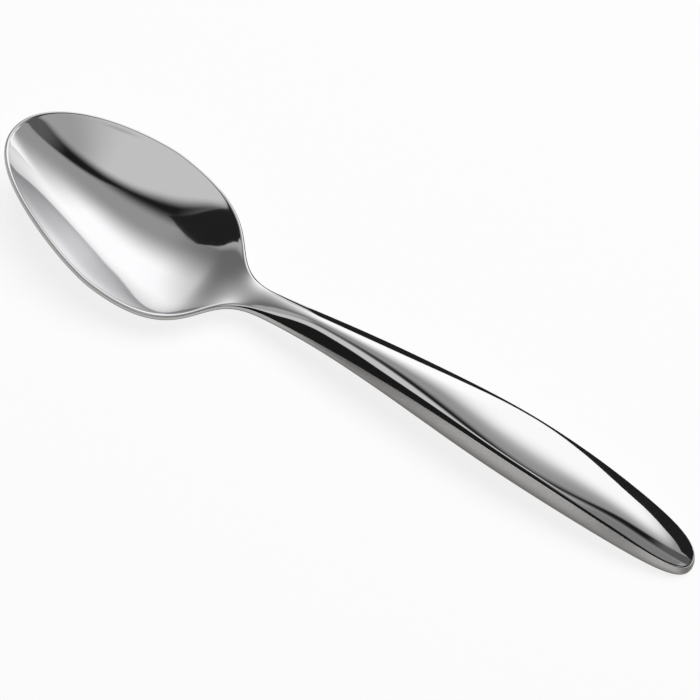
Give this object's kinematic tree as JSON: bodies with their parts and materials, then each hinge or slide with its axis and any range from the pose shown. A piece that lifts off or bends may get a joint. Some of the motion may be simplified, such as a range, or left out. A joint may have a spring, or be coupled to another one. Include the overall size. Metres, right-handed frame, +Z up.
{
  "type": "teaspoon",
  "caption": "Polished steel teaspoon with a deep egg-shaped bowl, a slim rounded neck and a thick teardrop handle with a domed top and brushed flat sides.",
  "frame": {"origin": "on the table, under the middle of the spoon's length and width", "axes": "+X runs from the bowl to the end of the handle, +Y is across the spoon, +Z is up out of the open bowl"},
  "size_m": [0.1518, 0.0346, 0.0152],
  "materials": {
    "steel": "mirror-polished stainless steel, with brushed sides on the handle"
  },
  "bodies": {
    "root": {"bowl": "steel", "neck": "steel", "handle": "steel"}
  },
  "joints": []
}
